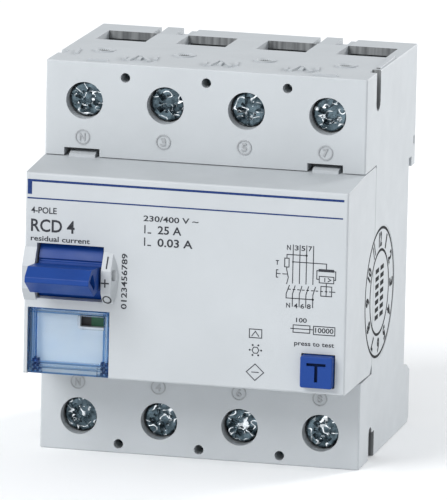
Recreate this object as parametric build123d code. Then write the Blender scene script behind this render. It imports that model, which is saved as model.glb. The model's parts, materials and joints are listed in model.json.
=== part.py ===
from build123d import *
import math
import os

# Four-pole residual current device for a 35 mm rail. Millimetres.
# X runs to the right, -Y to the front, +Z up. Y = 0 is the plane that rests on the rail,
# and Z = 0 is the middle of the rail and of the raised front.

# Driving sizes of the case
PITCH = 17.8                    # one module
HALF_W = 35.25                  # half of the overall width
DECK = -44.0                    # front plane of both terminal decks
NOSE = -60.0                    # front plane of the raised middle
REAR = 6.0                      # rearmost plane
TOP_FRONT = 43.0                # top face at the front
TOP_REAR = 41.9                 # top face at the rear
BOTTOM = -42.3
WALL = 1.8
DECK_WALL = 2.0
NOSE_TOP = 22.2                 # hood height where it meets the upper deck
NOSE_TOP_FRONT = 21.4
NOSE_BOTTOM = -22.5
HOOD_FLOOR = -21.2              # inner face of the hood's lower wall
FLANK_REAR = -33.1              # rear edge of the hood's sides
SEAM = 0.2                      # gap between hood and housing
INSIDE = HALF_W - WALL
POLES = [PITCH * (i - 1.5) for i in range(4)]
BOUNDARIES = [-PITCH, 0.0, PITCH]

# Rail seat
LIP_Z = 15.4                    # lower end of the fixed upper lip
GROOVE_Z = 17.6                 # top of the groove behind the lip
GROOVE_Y = 2.7
SEAT_BOTTOM = -28.1
BASE_FRONT = -2.2               # inner face of the rear base

# Terminals
SCREW_Z = {"upper": 34.5, "lower": -34.7}
SCREW_HOLE_R = 4.05
SCREW_TURN = {"upper": -11.0, "lower": 17.0}
HEAD_R = 3.7
HEAD_FRONT = -41.7
HEAD_H = 2.8
SHANK_R = 2.5
BAR_FRONT = -14.5
BAR_REAR = -12.9
CAGE_HALF_W = 6.5
CAGE_SIDE = 1.2
CAGE_H = 9.0
CAGE_FRONT = -26.2
CAGE_NUT = 3.0
CAGE_REAR = -4.6
CAGE_BACK = 1.8
WIRE_HALF_W = 4.35
WIRE_Y = (-12.7, -5.6)
ENTRY_X = (-5.0, 6.0)           # rim of a wire entry, about its pole
ENTRY_Y = (-14.4, -2.4)
ENTRY_FLOOR = 40.0              # bottom of the well, where the narrower chute starts
FUNNEL_X, FUNNEL_Y = 0.4, -28.6 # probe hole, about its pole
COLLAR_R, COLLAR_H = 2.4, 0.3
FUNNEL_R, PROBE_R = 1.9, 1.3
RIB_W, RIB_H = 0.85, 0.45
PIN_HOLE_R = 1.05
PIN_FRONT = -39.5               # heads of the housing screws, deep in their holes
PIN_HOLE_Z = {"upper": 40.0, "lower": -40.3}

# Handle and its linkage, all turning about X
HANDLE_Y, HANDLE_Z = -51.5, -0.3
DRUM_R = 8.8
DRUM_X = (-32.2, -18.3)
GRIP_X = (-32.45, -18.45)
PIN_R = 1.25
CRANK_R = 7.4                   # handle axis to the link pin, straight behind
SHAFT_Y, SHAFT_Z = -11.0, 10.0  # contact shaft
SHAFT_R = 3.5
LEVER_R = 6.33                  # contact shaft to its link stud, straight in front
OPEN_ANGLE = 20.0               # contacts stand this far open
LINK_X = (-25.6, -24.2)
LINK_PIN_R = 1.0
LINK_SLOT_R = 1.1
FIT = 0.05                      # running fit, per side

# Front openings
OPENING_X = (-32.6, -17.9)
OPENING_Z = (-6.0, 6.2)
SURROUND_Y = -62.3              # front of the raised cheeks beside the handle
CHEEK_Z = (-6.4, -3.5, 1.4, 5.2) # foot, lower and upper ridge, and head of a cheek
CHEEK_RIDGE_X = -15.75
SEAL_Y, SEAL_R = -61.35, 0.7
CHEEK_FOOT = [(-15.8, 4.9), (-15.1, 3.2), (-14.4, 0.4), (-14.8, -3.2), (-15.5, -6.0)]
RECESS_X = (-34.4, -16.4)
RECESS_TOP = -7.9
RECESS_FLOOR = -57.3
COVER_X = (-34.2, -16.6)
COVER_Z = (-22.3, -8.05)
COVER_AXIS_Y, COVER_AXIS_Z = -58.75, -21.4
TRUNNION_R = 0.65
WINDOW_X = (-23.4, -17.6)       # flag window
WINDOW_Z = (-12.0, -9.3)
FLAG_GAP_X = (-24.0, -21.3)     # bare foot between the red and the green
FLAG_LEFT = -28.8
FLAG_Y = (-56.0, -55.2)
FLAG_Z = (-12.5, -8.9)
BUTTON_X = (25.9, 32.9)
BUTTON_Z = (-20.9, -14.0)
BUTTON_FRONT = -62.0
BUTTON_GAP = 0.2
T_DEPTH = 0.6
SLOT_X = [(-31.0, -23.2), (22.5, 30.3)]   # latch slots in the upper deck
LATCH_TOP = 24.1

TAB_NOTCH = (-4.1, 4.3)         # notch in the rear top edge, about a pole boundary
TAB_X = (-2.7, 0.9)             # the rear base's tab that fills its middle

# Inside
FRAME_Y = (-41.6, -40.0)        # moulded frame plate behind the hood
CORE_X, CORE_Y, CORE_Z = 6.7, -25.5, -8.0
CASE_R, CASE_BORE, CASE_H = 14.0, 7.0, 11.0
RELAY_X = (-9.0, 7.0)
RELAY_Y = (-55.0, -41.6)
RELAY_Z = (-5.5, 6.5)
PLUNGER_Y, PLUNGER_Z = -50.2, 0.5
CLIP_X = {"left": -PITCH, "right": PITCH}
CLIP_TIP = -16.3                # upper end of a clip's hook
CLIP_POCKET = -0.3              # the seat is lowered under the clips
STAMP_Y, STAMP_Z = -27.0, -6.6  # shallow round recess on the right side, for a stamp
STAMP_R = 14.7
STAMP_DEPTH = 0.06


def block(x, y, z):
    """A box between pairs of limits."""
    size = Box(x[1] - x[0], y[1] - y[0], z[1] - z[0], align=(Align.MIN, Align.MIN, Align.MIN))
    return Pos(x[0], y[0], z[0]) * size


def rod_x(radius, x, y, z):
    """A cylinder along X from x[0] to x[1]."""
    along = Cylinder(radius, x[1] - x[0], align=(Align.CENTER, Align.CENTER, Align.MIN))
    return Pos(x[0], y, z) * Rot(0, 90, 0) * along


def rod_y(radius, x, y, z):
    """A cylinder along Y from y[0] to y[1]."""
    along = Cylinder(radius, y[1] - y[0], align=(Align.CENTER, Align.CENTER, Align.MIN))
    return Pos(x, y[0], z) * Rot(-90, 0, 0) * along


def rod_z(radius, x, y, z):
    """A cylinder along Z from z[0] to z[1]."""
    along = Cylinder(radius, z[1] - z[0], align=(Align.CENTER, Align.CENTER, Align.MIN))
    return Pos(x, y, z[0]) * along


def prism_x(outline, x):
    """An outline of (Y, Z) points, carried along X."""
    face = Plane.YZ.offset(x[0]) * Polygon(*outline, align=None)
    return extrude(face, amount=x[1] - x[0], dir=(1, 0, 0))


def turned_x(shape, degrees, y, z):
    """A shape turned about a line along X through (y, z)."""
    return Pos(0, y, z) * Rot(degrees, 0, 0) * Pos(0, -y, -z) * shape


def coil(radius, wire, length, turns):
    """A helical spring that stands on the origin along Z, wire ends included in its length."""
    rise = length - 2 * wire
    path = Helix(pitch=rise / turns, height=rise, radius=radius)
    section = Plane(origin=path @ 0, z_dir=path % 0) * Circle(wire)
    return Pos(0, 0, wire) * sweep(section, path=path)


def pole_group(make):
    """One solid per pole, kept apart in one node."""
    return Compound(children=[solid for x in POLES for solid in make(x).solids()])


def side_outline():
    """The case from the side: rail notch, chamfered lower rear corner, sloping top."""
    return [
        (DECK, BOTTOM), (DECK, TOP_FRONT), (REAR, TOP_REAR), (REAR, LIP_Z),
        (GROOVE_Y, LIP_Z), (GROOVE_Y, GROOVE_Z), (0, GROOVE_Z), (0, SEAT_BOTTOM),
        (3.0, -28.9), (REAR, -30.5), (REAR, -41.0), (4.7, BOTTOM),
    ]


def top_at(y):
    """Height of the sloping top face at a depth."""
    return TOP_FRONT + (TOP_REAR - TOP_FRONT) * (y - DECK) / (REAR - DECK)


def round_front(solid):
    """The deck plates' vertical front edges and upper corners are rounded."""
    sides = solid.edges().filter_by(Axis.Z).filter_by(lambda e: abs(e.center().Y - DECK) < 0.01)
    solid = fillet(sides, 0.5)
    rims = solid.edges().filter_by(lambda e: abs(e.center().Y - DECK) < 0.01)
    return fillet(rims, 0.3)


def main_housing():
    shell = prism_x(side_outline(), (-HALF_W, HALF_W))
    shell = round_front(shell)
    cavity_top = [(DECK + DECK_WALL, BOTTOM + 1.9), (REAR + 4, BOTTOM + 1.9),
                  (REAR + 4, top_at(REAR) - WALL), (DECK + DECK_WALL, top_at(DECK) - WALL)]
    shell -= prism_x(cavity_top, (-INSIDE, INSIDE))
    # The hood's place between the two decks
    hood_low, hood_high = NOSE_BOTTOM - 0.7 - SEAM, NOSE_TOP + SEAM
    shell -= block((-50, 50), (DECK - 1, FLANK_REAR + SEAM), (hood_low, hood_high))
    shell += block((-INSIDE, INSIDE), (DECK + 0.4, -34.0), (hood_high, LATCH_TOP + 0.8))
    shell += block((-INSIDE, INSIDE), (DECK + 0.4, -34.0), (hood_low - 1.6, hood_low))
    # Walls between the poles, with a screw column at each outer end
    for x in BOUNDARIES:
        wall_x = (x - 0.6, x + 0.6)
        shell += block(wall_x, (DECK + 1, BASE_FRONT - 0.1), (24.0, 40.3))
        shell += block(wall_x, (DECK + 1, BASE_FRONT - 0.1), (-40.5, -24.8))
        for z in PIN_HOLE_Z.values():
            shell += rod_y(2.0, x, (DECK + 1, -3.0), z)
    for row, z in SCREW_Z.items():
        for x in POLES:
            shell += rod_y(SCREW_HOLE_R + 1.1, x, (DECK + 1, -37.4), z)
            shell -= rod_y(SCREW_HOLE_R, x, (DECK - 1, -37.0), z)
        for x in BOUNDARIES:
            shell -= rod_y(PIN_HOLE_R, x, (DECK - 1, -2.0), PIN_HOLE_Z[row])
    # Entries for the wires, and a small probe hole in front of each
    for x in POLES:
        shell = wire_entry(shell, x, top_at(ENTRY_Y[1]), 1)
        shell = wire_entry(shell, x, -BOTTOM, -1)
        shell = probe_hole(shell, x + FUNNEL_X)
    # Slots where the hood's latches reach through the upper deck
    for x in SLOT_X:
        shell -= block(x, (DECK - 1, -38.0), (hood_high - 0.1, LATCH_TOP))
    # Open slots down both sides, and the tab notches at the top rear edge
    for side in (-1, 1):
        near = sorted((side * (INSIDE - 0.1), side * (HALF_W + 1)))
        shell -= block(near, (-34.7, -30.6), (36.2, 45))
        shell -= rod_x(2.05, near, -32.65, 36.2)
        shell -= block(near, (-34.6, -29.2), (-45, -36.6))
        shell -= rod_x(1.5, near, -33.1, -36.6)
        notch_x = (side * PITCH + TAB_NOTCH[0], side * PITCH + TAB_NOTCH[1])
        shell -= block(notch_x, (BASE_FRONT, REAR + 1), (38.6, 45))
        shell -= rod_x(1.5 + FIT, sorted((side * (INSIDE - 1), side * 34.4)), SHAFT_Y, SHAFT_Z)
        shell -= block(near, (4.3, 5.3), (20.0, 21.8))
    for x in CLIP_X.values():
        shell -= block((x - 5.5, x + 5.5), (0.5, REAR + 1), (BOTTOM - 1, -39.0))
    return shell + deck_ribs() - stamp_recess()


def probe_hole(shell, x):
    """A hole for a test probe in the top face, with a low collar and a funnelled mouth."""
    rim = top_at(FUNNEL_Y) + COLLAR_H
    shell += rod_z(COLLAR_R, x, FUNNEL_Y, (rim - 1.0, rim))
    shell -= rod_z(PROBE_R, x, FUNNEL_Y, (38.0, 45.0))
    funnel = Cone(PROBE_R, FUNNEL_R, 0.5, align=(Align.CENTER, Align.CENTER, Align.MAX))
    return shell - Pos(x, FUNNEL_Y, rim) * funnel


def wire_entry(shell, x, rim, side):
    """Adds a wire's well to the top (side 1) or the bottom (side -1), with a narrower chute."""
    floor = block((x + ENTRY_X[0] - 0.8, x + ENTRY_X[1] + 0.8), (ENTRY_Y[0] - 0.8, ENTRY_Y[1]),
                  (ENTRY_FLOOR - 0.5, rim - 1.0))
    well = block((x + ENTRY_X[0], x + ENTRY_X[1]), ENTRY_Y, (ENTRY_FLOOR, 45.0))
    chute = block((x - WIRE_HALF_W, x + WIRE_HALF_W), WIRE_Y, (38.0, 45.0))
    if side < 0:
        floor, well, chute = (mirror(solid, about=Plane.XY) for solid in (floor, well, chute))
    return shell + floor - well - chute


def stamp_recess():
    return rod_x(STAMP_R, (HALF_W - STAMP_DEPTH, HALF_W + 1), STAMP_Y, STAMP_Z)


def top_rib(start, end):
    """A low rib on the top face between two (X, Y) points."""
    length = math.dist(start, end) + 0.5
    middle = ((start[0] + end[0]) / 2, (start[1] + end[1]) / 2)
    turn = math.degrees(math.atan2(end[1] - start[1], end[0] - start[0]))
    rib = Box(length, RIB_W, 2 * RIB_H)
    return Pos(middle[0], middle[1], top_at(middle[1])) * Rot(0, 0, turn) * rib


def deck_ribs():
    """Low ribs on the top face: an arch with a stroke each side at every pole boundary."""
    ribs = Part()
    for x in BOUNDARIES:
        ribs += top_rib((x - 1.6, -39.0), (x - 2.2, -35.5))
        ribs += top_rib((x - 0.5, -39.6), (x + 0.2, -34.2))
        ribs += top_rib((x + 0.2, -34.2), (x + 1.6, -34.5))
        ribs += top_rib((x + 1.6, -34.5), (x + 4.0, -39.4))
        ribs += top_rib((x + 1.5, -38.4), (x + 1.4, -36.5))
        ribs += top_rib((x + 4.9, -37.5), (x + 4.1, -33.2))
    ribs += top_rib((-31.0, -35.0), (-31.6, -30.0))
    ribs += top_rib((34.4, -29.3), (34.4, -15.0))
    # Short ledges by the front edge
    ribs += top_rib((-26.4, -41.8), (-22.4, -41.8))
    ribs += top_rib((23.2, -42.2), (28.0, -42.2))
    return ribs


def rear_base():
    inner_top = top_at(REAR) - WALL - 0.15
    inner_low = BOTTOM + 1.9 + 0.1
    outline = [
        (BASE_FRONT, inner_top), (REAR, inner_top), (REAR, LIP_Z), (GROOVE_Y, LIP_Z),
        (GROOVE_Y, GROOVE_Z), (0, GROOVE_Z), (0, SEAT_BOTTOM), (3.0, -28.9),
        (REAR, -30.5), (REAR, inner_low), (BASE_FRONT, inner_low),
    ]
    across = (-INSIDE + 0.15, INSIDE - 0.15)
    base = prism_x(outline, across)
    # Shallow plate field on the rear, and moulding pockets in the seat
    base -= block((-12, 12), (REAR - 0.4, REAR + 1), (22.0, 36.0))
    for side in (-1, 1):
        base -= block(sorted((side * 25.0, side * 30.5)), (-0.6, 0.5), (-11.0, 11.0))
    within = (across[0] + WALL, across[1] - WALL)
    base -= block(within, (BASE_FRONT - 1, REAR - WALL), (GROOVE_Z + 2, inner_top - WALL))
    for x in CLIP_X.values():
        # Channel of the rail clip, the peg of its spring and a view window
        base -= block((x - 5.25, x + 5.25), (0.7, 4.5), (-45, -26))
        base += block((x - 1.2, x + 1.2), (0.5, 4.6), (-38.4, -37.2))
        base -= block((x - 3.4, x + 3.4), (4.4, REAR + 1), (-36.6, -32.2))
        # Tab and low step that show in the notch of the top wall, bored for its screw
        base += block((x + TAB_X[0], x + TAB_X[1]), (-2.0, REAR), (inner_top - 1, TOP_REAR + 0.15))
        base += block((x + 3.2, x + TAB_NOTCH[1] - 0.1), (-2.0, 3.8), (inner_top - 1, TOP_REAR))
        base += block((x - 2.6, x + 2.6), (-2.0, 3.0), (inner_top - 1, TOP_REAR - 0.6))
        base -= rod_y(0.9, x, (-3, 2.2), PIN_HOLE_Z["upper"])
        # The seat is lowered round the clip's hook
        base -= block((x - 5.3, x + 5.3), (CLIP_POCKET, 0.8), (SEAT_BOTTOM - 1, CLIP_TIP + 0.15))
    for x in (-29.5, -6.0, 6.0, 29.5):
        # Moulding pockets beside the clips
        base -= block((x - 2.2, x + 2.2), (1.6, REAR + 1), (-38.4, -32.6))
    for x in POLES:
        # The wires' clamps reach close to the base
        base -= block((x - 7.4, x + 7.4), (BASE_FRONT - 1, -1.0), (-39.6, -29.6))
    return base


def hood_body():
    """The hood's outer solid with its surround, before it is hollowed."""
    outline = [
        (NOSE, NOSE_TOP_FRONT), (DECK, NOSE_TOP), (FLANK_REAR - 0.7, NOSE_TOP),
        (FLANK_REAR, NOSE_TOP - 0.7),
        (FLANK_REAR, NOSE_BOTTOM + 1.2), (FLANK_REAR - 1.9, NOSE_BOTTOM - 0.6),
        (DECK, NOSE_BOTTOM - 0.3), (NOSE, NOSE_BOTTOM),
    ]
    body = prism_x(outline, (-HALF_W, HALF_W))
    nose_edges = body.edges().filter_by(lambda e: abs(e.center().Y - NOSE) < 0.01)
    return fillet(nose_edges, 0.5)


def hood_surround():
    """The raised cheeks left and right of the handle, the right one sloping down to a bowed foot."""
    cheek = [(NOSE + 1, CHEEK_Z[3]), (NOSE, CHEEK_Z[3]), (SURROUND_Y, CHEEK_Z[2]),
             (SURROUND_Y, CHEEK_Z[1]), (NOSE, CHEEK_Z[0]), (NOSE + 1, CHEEK_Z[0])]
    left = prism_x(cheek, (-HALF_W, OPENING_X[0]))
    corners = [(OPENING_X[1], y, z) for y, z in cheek]
    corners += [(CHEEK_RIDGE_X, SURROUND_Y, z) for z in CHEEK_Z[1:3]]
    for x, z in CHEEK_FOOT:
        corners += [(x, NOSE, z), (x, NOSE + 1, z)]
    return left + ConvexPolyhedron(corners)


def front_hood():
    hood = hood_body()
    hollow = [(NOSE + WALL, NOSE_TOP_FRONT - WALL), (-30, NOSE_TOP - WALL),
              (-30, HOOD_FLOOR), (NOSE + WALL, HOOD_FLOOR)]
    hood -= prism_x(hollow, (-INSIDE, INSIDE))
    # Upper and lower walls stop short, so that only the flanks reach back
    hood -= block((-INSIDE, INSIDE), (-36.0, -30), (-30, 30))
    # Solid ground for the label recess, and the handle's bearing walls
    hood += block((-HALF_W + 0.6, -15.2), (NOSE + 1, -56.2), (NOSE_BOTTOM + 0.4, -6.0))
    hood += block((-HALF_W + 0.6, OPENING_X[0]), (NOSE + 1, -47.5), (-8.0, 8.0))
    hood += block((OPENING_X[1], -16.3), (NOSE + 1, -47.5), (-8.0, 8.0))
    hood += hood_surround()
    # Handle opening with a sloping lower sill, and the drum's well behind it
    sill = [(-64, OPENING_Z[1]), (-50, OPENING_Z[1]), (-50, -5.2), (-58.0, -5.2), (-64, -7.2)]
    hood -= prism_x(sill, OPENING_X)
    hood -= rod_x(DRUM_R + 0.3, OPENING_X, HANDLE_Y, HANDLE_Z)
    hood -= rod_x(PIN_R + 0.01, (-34.3, -15), HANDLE_Y, HANDLE_Z)
    # Upright sealing hole through the right cheek
    seal_x = (-18.5, -13)
    for z in (-0.1, 0.9):
        hood -= rod_x(SEAL_R, seal_x, SEAL_Y, z)
    hood -= block(seal_x, (SEAL_Y - SEAL_R, SEAL_Y + SEAL_R), (-0.1, 0.9))
    # Label recess with the flag's window and the cover's hinge holes
    hood -= block(RECESS_X, (NOSE - 1, RECESS_FLOOR), (NOSE_BOTTOM - 2, RECESS_TOP))
    hood -= block(WINDOW_X, (RECESS_FLOOR - 1, -55), WINDOW_Z)
    hinge_x = (RECESS_X[0] - 0.6, RECESS_X[1] + 0.6)
    hood -= rod_x(TRUNNION_R + FIT, hinge_x, COVER_AXIS_Y, COVER_AXIS_Z)
    # Test button opening
    button_x = (BUTTON_X[0] - BUTTON_GAP, BUTTON_X[1] + BUTTON_GAP)
    button_z = (BUTTON_Z[0] - BUTTON_GAP, BUTTON_Z[1] + BUTTON_GAP)
    hood -= block(button_x, (NOSE - 1, -57), button_z)
    # Latch tongues that stand up into the deck slots
    for low, high in SLOT_X:
        tongue = prism_x([(-44.3, NOSE_TOP - 0.6), (-44.3, NOSE_TOP + 0.6), (-43.0, NOSE_TOP + 1.0),
                          (-39.0, NOSE_TOP + 1.0), (-38.6, NOSE_TOP - 0.6)], (low + 1.2, high - 0.9))
        hood += tongue
    return hood - stamp_recess()


def inner_frame():
    """Moulded plate behind the hood that carries relay, board and trip lever."""
    frame = block((-33.3, 33.3), FRAME_Y, (-20.9, 19.8))
    frame -= block((-29.0, -20.5), (-45, -38), (-10.5, 9.5))
    for z in ((-6.0, -4.5), (5.5, 7.0)):
        frame += block((-14.6, -11.0), (-46.2, FRAME_Y[0] + 0.1), z)
    frame -= rod_z(0.8 + 0.01, -12.8, -44.4, (-7, 8))
    return frame


def handle():
    """Grip, front drum, hub and the two crank cheeks behind."""
    grip = [(-57.0, 1.5), (-60.0, 1.9), (-68.3, 2.75), (-71.0, 0.9), (-71.0, -0.2),
            (-66.0, -3.4), (-62.6, -3.0), (-57.0, -2.3)]
    bar = prism_x(grip, GRIP_X)
    bar = fillet(bar.edges().filter_by(Axis.X).filter_by(lambda e: e.center().Y < -62), 0.35)
    inner = [(-66.9, 1.65), (-68.5, 1.55), (-69.8, 0.35), (-66.0, -2.1), (-65.2, -1.3)]
    bar -= prism_x(inner, (GRIP_X[1] - 7.0, GRIP_X[1] + 1))
    neck = block((-40, -10), (-62.6, -50), (-10, 10))
    bar -= neck
    root = [(-62.6, 2.17), (-62.6, -3.0), (-57.0, -2.3), (-57.0, 1.5)]
    bar += prism_x(root, (DRUM_X[0] + 0.1, DRUM_X[1] - 0.1))
    drum = rod_x(DRUM_R, DRUM_X, HANDLE_Y, HANDLE_Z)
    drum -= rod_x(DRUM_R - 2.2, DRUM_X, HANDLE_Y, HANDLE_Z)
    drum -= block((-40, -10), (HANDLE_Y + 1.5, -30), (-20, 20))
    drum -= rod_x(0.35, DRUM_X, HANDLE_Y - 8.3, HANDLE_Z + 2.9)
    web = block((DRUM_X[0], DRUM_X[0] + 1.6), (HANDLE_Y - 8, HANDLE_Y + 1.5), (-7, 6.4))
    web += block((DRUM_X[1] - 1.6, DRUM_X[1]), (HANDLE_Y - 8, HANDLE_Y + 1.5), (-7, 6.4))
    web &= rod_x(DRUM_R - 1, DRUM_X, HANDLE_Y, HANDLE_Z)
    hub = rod_x(2.6, DRUM_X, HANDLE_Y, HANDLE_Z)
    toggle = bar + drum + web + hub
    for x in ((-27.4, -26.0), (-23.8, -22.4)):
        cheek = block(x, (HANDLE_Y - 7.5, HANDLE_Y + CRANK_R), (HANDLE_Z - 2.2, HANDLE_Z + 2.2))
        toggle += cheek + rod_x(2.2, x, HANDLE_Y + CRANK_R, HANDLE_Z)
    toggle -= rod_x(LINK_PIN_R + 0.01, (-28, -22), HANDLE_Y + CRANK_R, HANDLE_Z)
    toggle -= rod_x(PIN_R + FIT, (-40, -10), HANDLE_Y, HANDLE_Z)
    spring_room = rod_x(2.7, (-21.9, -20.1), HANDLE_Y, HANDLE_Z)
    toggle -= spring_room - rod_x(1.9, (-21.9, -20.1), HANDLE_Y, HANDLE_Z)
    return toggle


def handle_spring():
    """Torsion spring seated round the handle's hub."""
    turns = coil(2.25, 0.25, 1.7, 2.5)
    return Pos(-21.85, HANDLE_Y, HANDLE_Z) * Rot(0, 90, 0) * turns


def toggle_link():
    """Flat steel link from the crank to the contact shaft, slotted at the shaft's end."""
    y0, z0 = HANDLE_Y + CRANK_R, HANDLE_Z
    y1, z1 = SHAFT_Y - LEVER_R, SHAFT_Z
    length = math.hypot(y1 - y0, z1 - z0)
    lean = math.degrees(math.atan2(z1 - z0, y1 - y0))
    bar = block(LINK_X, (0, length - 0.5), (-1.5, 1.5))
    bar = Pos(0, y0, z0) * Rot(lean, 0, 0) * bar
    bar += rod_x(2.2, LINK_X, y0, z0) + rod_x(2.2, LINK_X, y1 + 0.4, z1)
    bar -= rod_x(LINK_PIN_R + FIT, (-30, -20), y0, z0)
    slot_y = (y1 - 0.05, y1 + 0.75)
    slot = block((-30, -20), slot_y, (z1 - LINK_SLOT_R, z1 + LINK_SLOT_R))
    for y in slot_y:
        slot += rod_x(LINK_SLOT_R, (-30, -20), y, z1)
    return bar - slot


def arm(x):
    """One moving contact, drawn closed and then turned open about the shaft."""
    bar = block((x - 1.5, x + 1.5), (-10.9, -9.5), (7.5, 21.0))
    bar += rod_y(1.8, x, (-11.8, -10.8), 19.2)
    return turned_x(bar, -OPEN_ANGLE, SHAFT_Y, SHAFT_Z)


def contact_carrier():
    """Insulating shaft across all poles with the crank that the link drives."""
    shaft = rod_x(SHAFT_R, (-INSIDE + 0.5, INSIDE - 0.5), SHAFT_Y, SHAFT_Z)
    shaft += rod_x(1.5, (-34.2, 34.2), SHAFT_Y, SHAFT_Z)
    pin_y = SHAFT_Y - LEVER_R
    for x in ((-27.5, -26.0), (-23.8, -22.3)):
        shaft += block(x, (pin_y, SHAFT_Y), (SHAFT_Z - 1.6, SHAFT_Z + 1.6))
        shaft += rod_x(1.6, x, pin_y, SHAFT_Z)
    shaft += rod_x(1.0, (-27, -23), pin_y, SHAFT_Z)
    shaft += block((-32.2, -29.4), (-16.4, -12), (SHAFT_Z + 0.5, SHAFT_Z + 3.1))
    for x in POLES:
        shaft -= arm(x)
    return shaft


def main_spring():
    """Opening spring between the frame plate and the contact shaft's lug."""
    length = -16.4 - FRAME_Y[1]
    return Pos(-30.8, FRAME_Y[1], SHAFT_Z + 1.8) * Rot(-90, 0, 0) * coil(1.0, 0.3, length, 16)


def flexible_lead(x):
    return rod_z(0.9, x, SHAFT_Y, (1.5, 6.3))


def upper_bar(x):
    """Terminal bar with its fixed contact on the rear side."""
    bar = block((x - 5, x + 5), (BAR_FRONT, BAR_REAR), (17.0, 39.4))
    return bar + rod_y(1.9, x, (BAR_REAR - 0.5, -11.85), 19.2)


def lower_bar(x):
    return block((x - 5, x + 5), (BAR_FRONT, BAR_REAR), (-39.4, -16.4))


def conductor(x):
    """Insulated conductor from under the contact shaft, through the transformer, to its bar."""
    bore_x = CORE_X - 2.2 if x < 0 else CORE_X + 2.2
    row_y = CORE_Y - 2.2 if abs(x) > PITCH else CORE_Y + 2.2
    high, low = 0.3, -18.6
    points = [(x, SHAFT_Y, high), (x, row_y, high), (bore_x, row_y, high),
              (bore_x, row_y, low), (x, row_y, low), (x, BAR_FRONT, low)]
    path_points = [p for i, p in enumerate(points) if i == 0 or math.dist(p, points[i - 1]) > 0.1]
    path = FilletPolyline(*path_points, radius=2.4)
    section = Plane(origin=path @ 0, z_dir=path % 0) * Circle(1.2)
    return sweep(section, path=path)


def transformer_core():
    ring = rod_z(12.4, CORE_X, CORE_Y, (CORE_Z - 4.2, CORE_Z + 4.2))
    return ring - rod_z(8.6, CORE_X, CORE_Y, (CORE_Z - 5, CORE_Z + 5))


def transformer_case():
    """Ring-shaped case with a hollow for the core and a foot on the frame plate."""
    half = CASE_H / 2
    case = rod_z(CASE_R, CORE_X, CORE_Y, (CORE_Z - half, CORE_Z + half))
    case += block((CORE_X - 5, CORE_X + 5), (FRAME_Y[1], CORE_Y - 10), (CORE_Z - 4, CORE_Z + 4))
    case -= rod_z(CASE_BORE, CORE_X, CORE_Y, (CORE_Z - 9, CORE_Z + 9))
    hollow = rod_z(12.45, CORE_X, CORE_Y, (CORE_Z - 4.25, CORE_Z + 4.25))
    return case - (hollow - rod_z(8.55, CORE_X, CORE_Y, (CORE_Z - 9, CORE_Z + 9)))


def transformer_winding():
    """Two sectors of wire wound round the case, left and right."""
    ring = rod_z(15.0, CORE_X, CORE_Y, (CORE_Z - 6.5, CORE_Z + 6.5))
    ring -= rod_z(6.0, CORE_X, CORE_Y, (CORE_Z - 9, CORE_Z + 9))
    ring -= rod_z(CASE_R + 0.02, CORE_X, CORE_Y, (CORE_Z - 5.52, CORE_Z + 5.52)) - rod_z(
        CASE_BORE - 0.02, CORE_X, CORE_Y, (CORE_Z - 9, CORE_Z + 9))
    sector = ring - block((-30, 40), (CORE_Y + 9, 0), (-30, 30))
    sector -= block((-30, 40), (-60, CORE_Y - 9), (-30, 30))
    return sector - block((CORE_X - 5, CORE_X + 5), (-60, 0), (-30, 30))


def relay_case():
    case = block(RELAY_X, RELAY_Y, RELAY_Z)
    case = fillet(case.edges().filter_by(Axis.X), 0.6)
    case -= block((RELAY_X[0] + 1.2, RELAY_X[1] - 1.2), (RELAY_Y[0] + 1.2, RELAY_Y[1] - 1.2),
                  (RELAY_Z[0] + 1.2, RELAY_Z[1] - 1.2))
    return case - rod_x(1.2 + FIT, (RELAY_X[0] - 1, RELAY_X[0] + 2), PLUNGER_Y, PLUNGER_Z)


def relay_coil():
    spool = rod_x(3.4, (-3.5, 4.0), PLUNGER_Y, PLUNGER_Z)
    return spool - rod_x(1.5, (-4, 5), PLUNGER_Y, PLUNGER_Z)


def relay_plunger():
    stem = rod_x(1.2, (-11.4, -4.6), PLUNGER_Y, PLUNGER_Z)
    stem += rod_x(0.5, (-12.1, -11.3), PLUNGER_Y, PLUNGER_Z)
    return stem + rod_x(2.6, (-5.8, -4.6), PLUNGER_Y, PLUNGER_Z)


def trip_lever():
    """Lever that the plunger pushes, on an upright pin."""
    lever = rod_z(1.8, -12.8, -44.4, (-4.3, 5.3))
    lever += block((-13.4, -12.2), (-51.6, -44.4), (-2.2, 3.2))
    return lever - rod_z(0.8 + FIT, -12.8, -44.4, (-7, 8))


def board_parts():
    """Components on the circuit board."""
    front = -43.2
    pieces = [
        block((10.2, 14.2), (front - 5.0, front), (3.0, 10.5)),
        block((16.0, 18.6), (front - 2.2, front), (6.0, 11.0)),
        block((20.4, 22.8), (front - 2.2, front), (6.0, 11.0)),
        rod_y(2.0, 19.4, (front - 6.0, front), 0.5),
        block((10.2, 13.2), (front - 1.6, front), (-4.0, 0.5)),
    ]
    return Compound(children=[s for piece in pieces for s in piece.solids()])


def test_resistor():
    body = rod_z(1.6, 14.5, -45.4, (-16.5, -7.5))
    for z in ((-17.6, -16.0), (-8.0, -6.4)):
        body += rod_z(0.35, 14.5, -45.4, z)
    for z in (-17.4, -6.6):
        body += rod_y(0.35, 14.5, (-45.4, -43.2), z)
    return body


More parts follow.
